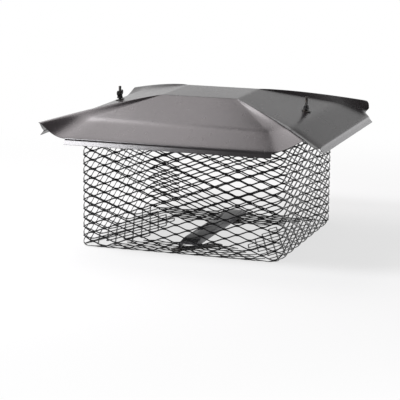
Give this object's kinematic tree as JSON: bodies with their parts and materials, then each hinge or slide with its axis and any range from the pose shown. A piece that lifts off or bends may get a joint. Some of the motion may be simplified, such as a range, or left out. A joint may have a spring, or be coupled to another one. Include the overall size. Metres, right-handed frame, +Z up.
{
  "type": "chimney cap",
  "caption": "Square chimney cap: a pitched sheet lid bolted over a cage folded from expanded metal, with a hold-down bar inside.",
  "frame": {"origin": "centre of the cage, on the plane that its bottom flange rests on", "axes": "+Z up, +X towards the right wing nut, +Y towards the rear, away from the front foot plate"},
  "size_m": [0.4684, 0.4684, 0.2384],
  "materials": {
    "lid_paint": "semi-gloss black",
    "net_paint": "gloss black",
    "bar_paint": "satin black",
    "foot_paint": "satin dark grey",
    "bolt_black": "blackened steel",
    "nut_black": "blackened steel"
  },
  "bodies": {
    "root": {"lid": "lid_paint", "mesh_cage": "net_paint", "hook_bolt_left": "bolt_black", "hook_bolt_right": "bolt_black", "washer_left": "bolt_black", "washer_right": "bolt_black", "wing_nut_left": "nut_black", "wing_nut_right": "nut_black", "hold_down_bar": "bar_paint", "foot_plate_front": "foot_paint", "foot_plate_rear": "foot_paint"}
  },
  "joints": []
}
